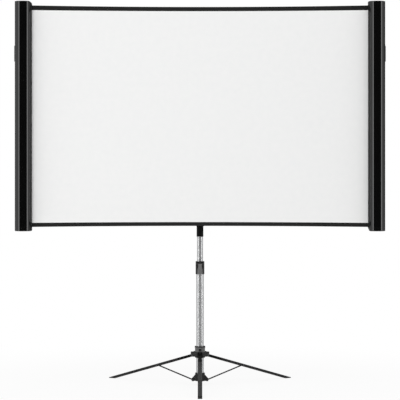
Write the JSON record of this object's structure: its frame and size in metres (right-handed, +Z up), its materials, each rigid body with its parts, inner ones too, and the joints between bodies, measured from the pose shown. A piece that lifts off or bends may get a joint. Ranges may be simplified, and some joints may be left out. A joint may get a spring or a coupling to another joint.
{
  "type": "tripod projection screen",
  "caption": "Portable projection screen whose sheet draws out sideways between two upright roller cases, on a telescopic mast with a folding tripod.",
  "frame": {"origin": "on the floor, at the middle of the part's outline seen from above", "axes": "+Z up along the mast, +X to the viewer's right along the sheet, +Y away from the viewer"},
  "size_m": [1.881, 0.827, 1.948],
  "materials": {
    "silver_tube": "satin plated steel tube",
    "moulded_black": "fine grained black moulding",
    "grey_plastic": "satin mid-grey moulding",
    "steel_pin": "dark zinc-plated steel",
    "painted_leg": "dark grey satin paint on steel",
    "foot_rubber": "matt black rubber",
    "brace_metal": "black anodised aluminium",
    "roller_tube": "mill finish aluminium tube",
    "case_gloss": "high gloss black",
    "grip_rubber": "matt black ribbed rubber",
    "sheet_white": "matt white front with black edge bands, black back"
  },
  "bodies": {
    "stand": {"lower_tube": "silver_tube", "lower_hub": "moulded_black", "clamp_body": "moulded_black", "lever_pin": "steel_pin", "hub_pin_front": "steel_pin", "hub_pin_left": "steel_pin", "hub_pin_right": "steel_pin"},
    "collar": {"collar": "moulded_black", "collar_pin_front": "steel_pin", "collar_pin_left": "steel_pin", "collar_pin_right": "steel_pin"},
    "collar_knob": {"collar_knob": "moulded_black"},
    "clamp_lever": {"clamp_lever": "grey_plastic"},
    "upper_mast": {"upper_tube": "silver_tube", "mast_bushing": "grey_plastic"},
    "screen_head": {"mast_socket": "moulded_black", "spine": "brace_metal", "spine_cap": "moulded_black", "spine_pivot": "steel_pin", "projection_sheet": "sheet_white"},
    "socket_knob": {"socket_knob": "moulded_black"},
    "spine_slider": {"spine_slider": "moulded_black"},
    "strut_front": {"strut_front": "painted_leg"},
    "leg_front": {"leg_front": "painted_leg", "foot_front": "foot_rubber", "knee_pin_front": "steel_pin"},
    "strut_left": {"strut_left": "painted_leg"},
    "leg_left": {"leg_left": "painted_leg", "foot_left": "foot_rubber", "knee_pin_left": "steel_pin"},
    "strut_right": {"strut_right": "painted_leg"},
    "leg_right": {"leg_right": "painted_leg", "foot_right": "foot_rubber", "knee_pin_right": "steel_pin"},
    "arm_lower_right": {"arm_lower_right": "brace_metal", "cross_pin_right": "steel_pin"},
    "arm_upper_right": {"arm_upper_right": "brace_metal"},
    "case_right": {"case_shell_right": "case_gloss", "top_cap_right": "case_gloss", "bottom_cap_right": "case_gloss", "side_grip_right": "grip_rubber", "case_pivot_right": "steel_pin", "roller_arbor_right": "steel_pin", "roller_spring_right": "steel_pin"},
    "case_slider_right": {"case_slider_right": "moulded_black"},
    "roller_right": {"roller_right": "roller_tube", "sheet_roll_right": "sheet_white"},
    "arm_lower_left": {"arm_lower_left": "brace_metal", "cross_pin_left": "steel_pin"},
    "arm_upper_left": {"arm_upper_left": "brace_metal"},
    "case_left": {"case_shell_left": "case_gloss", "top_cap_left": "case_gloss", "bottom_cap_left": "case_gloss", "side_grip_left": "grip_rubber", "case_pivot_left": "steel_pin", "roller_arbor_left": "steel_pin", "roller_spring_left": "steel_pin"},
    "case_slider_left": {"case_slider_left": "moulded_black"},
    "roller_left": {"roller_left": "roller_tube", "sheet_roll_left": "sheet_white"}
  },
  "joints": [
    {"name": "tripod_fold", "type": "hinge", "parent": "stand", "child": "strut_front", "pos_m": [0, 0.09349, 0.02], "axis": [-1, 0, 0], "range_deg": [0, 70]},
    {"name": "leg_front_swing", "type": "hinge", "parent": "strut_front", "child": "leg_front", "pos_m": [0, -0.12101, 0.0844], "axis": [-1, 0, 0], "range_deg": [-140, 0]},
    {"name": "strut_left_swing", "type": "hinge", "parent": "stand", "child": "strut_left", "pos_m": [-0.03291, 0.15049, 0.02], "axis": [0.5, 0.866, 0], "range_deg": [0, 70]},
    {"name": "leg_left_swing", "type": "hinge", "parent": "strut_left", "child": "leg_left", "pos_m": [-0.21867, 0.25773, 0.0844], "axis": [0.5, 0.866, 0], "range_deg": [-140, 0]},
    {"name": "strut_right_swing", "type": "hinge", "parent": "stand", "child": "strut_right", "pos_m": [0.03291, 0.15049, 0.02], "axis": [0.5, -0.866, 0], "range_deg": [0, 70]},
    {"name": "leg_right_swing", "type": "hinge", "parent": "strut_right", "child": "leg_right", "pos_m": [0.21867, 0.25773, 0.0844], "axis": [0.5, -0.866, 0], "range_deg": [-140, 0]},
    {"name": "collar_rise", "type": "hinge", "parent": "leg_front", "child": "collar", "pos_m": [0, 0.09349, 0.1488], "axis": [-1, 0, 0], "range_deg": [0, 70]},
    {"name": "collar_lock", "type": "hinge", "parent": "collar", "child": "collar_knob", "pos_m": [0, 0.09149, 0.1798], "axis": [0, -1, 0], "range_deg": [0, 540]},
    {"name": "mast_slide", "type": "slide", "parent": "stand", "child": "upper_mast", "axis": [0, 0, 1], "range_m": [-0.115, 0.29]},
    {"name": "clamp_release", "type": "hinge", "parent": "stand", "child": "clamp_lever", "pos_m": [0, 0.10124, 0.61], "axis": [-1, 0, 0], "range_deg": [0, 105]},
    {"name": "screen_swivel", "type": "hinge", "parent": "upper_mast", "child": "screen_head", "pos_m": [0, 0.13149, 0.77], "axis": [0, 0, 1], "continuous": true},
    {"name": "socket_lock", "type": "hinge", "parent": "screen_head", "child": "socket_knob", "pos_m": [0, 0.16149, 0.7785], "axis": [0, 1, 0], "range_deg": [0, 540]},
    {"name": "screen_fold", "type": "hinge", "parent": "screen_head", "child": "arm_lower_right", "pos_m": [0, 0.10699, 0.856], "axis": [0, -1, 0], "range_deg": [0, 63.38], "deforming": ["projection_sheet"]},
    {"name": "arm_upper_right_swing", "type": "hinge", "parent": "arm_lower_right", "child": "arm_upper_right", "pos_m": [0.4475, 0.11099, 1.05571], "axis": [0, -1, 0], "range_deg": [-126.76, 0]},
    {"name": "case_right_shift", "type": "hinge", "parent": "arm_upper_right", "child": "case_right", "pos_m": [0.895, 0.11499, 0.856], "axis": [0, -1, 0], "range_deg": [0, 63.38]},
    {"name": "case_slider_right_shift", "type": "hinge", "parent": "arm_lower_right", "child": "case_slider_right", "pos_m": [0.895, 0.10699, 1.25542], "axis": [0, -1, 0], "range_deg": [-63.38, 0]},
    {"name": "roller_right_wind", "type": "hinge", "parent": "case_right", "child": "roller_right", "pos_m": [0.895, 0.05799, 1.367], "axis": [0, 0, -1], "range_deg": [0, 2028.16]},
    {"name": "arm_lower_left_swing", "type": "hinge", "parent": "screen_head", "child": "arm_lower_left", "pos_m": [0, 0.11499, 0.856], "axis": [0, 1, 0], "range_deg": [0, 63.38]},
    {"name": "arm_upper_left_swing", "type": "hinge", "parent": "arm_lower_left", "child": "arm_upper_left", "pos_m": [-0.4475, 0.11099, 1.05571], "axis": [0, 1, 0], "range_deg": [-126.76, 0]},
    {"name": "case_left_shift", "type": "hinge", "parent": "arm_upper_left", "child": "case_left", "pos_m": [-0.895, 0.10699, 0.856], "axis": [0, 1, 0], "range_deg": [0, 63.38]},
    {"name": "case_slider_left_shift", "type": "hinge", "parent": "arm_lower_left", "child": "case_slider_left", "pos_m": [-0.895, 0.11499, 1.25542], "axis": [0, 1, 0], "range_deg": [-63.38, 0]},
    {"name": "roller_left_wind", "type": "hinge", "parent": "case_left", "child": "roller_left", "pos_m": [-0.895, 0.05799, 1.367], "axis": [0, 0, 1], "range_deg": [0, 2028.16]},
    {"name": "spine_slider_rise", "type": "hinge", "parent": "arm_upper_right", "child": "spine_slider", "pos_m": [0, 0.11499, 1.25542], "axis": [0, -1, 0], "range_deg": [0, 63.38]}
  ],
  "couplings": [
    {"joint": "leg_front_swing", "follows": "tripod_fold", "ratio": -2},
    {"joint": "strut_left_swing", "follows": "tripod_fold", "ratio": 1},
    {"joint": "leg_left_swing", "follows": "tripod_fold", "ratio": -2},
    {"joint": "strut_right_swing", "follows": "tripod_fold", "ratio": 1},
    {"joint": "leg_right_swing", "follows": "tripod_fold", "ratio": -2},
    {"joint": "collar_rise", "follows": "tripod_fold", "ratio": 1},
    {"joint": "arm_upper_right_swing", "follows": "screen_fold", "ratio": -2},
    {"joint": "case_right_shift", "follows": "screen_fold", "ratio": 1},
    {"joint": "case_slider_right_shift", "follows": "screen_fold", "ratio": -1},
    {"joint": "roller_right_wind", "follows": "screen_fold", "ratio": 32},
    {"joint": "arm_lower_left_swing", "follows": "screen_fold", "ratio": 1},
    {"joint": "arm_upper_left_swing", "follows": "screen_fold", "ratio": -2},
    {"joint": "case_left_shift", "follows": "screen_fold", "ratio": 1},
    {"joint": "case_slider_left_shift", "follows": "screen_fold", "ratio": -1},
    {"joint": "roller_left_wind", "follows": "screen_fold", "ratio": 32},
    {"joint": "spine_slider_rise", "follows": "screen_fold", "ratio": 1}
  ]
}
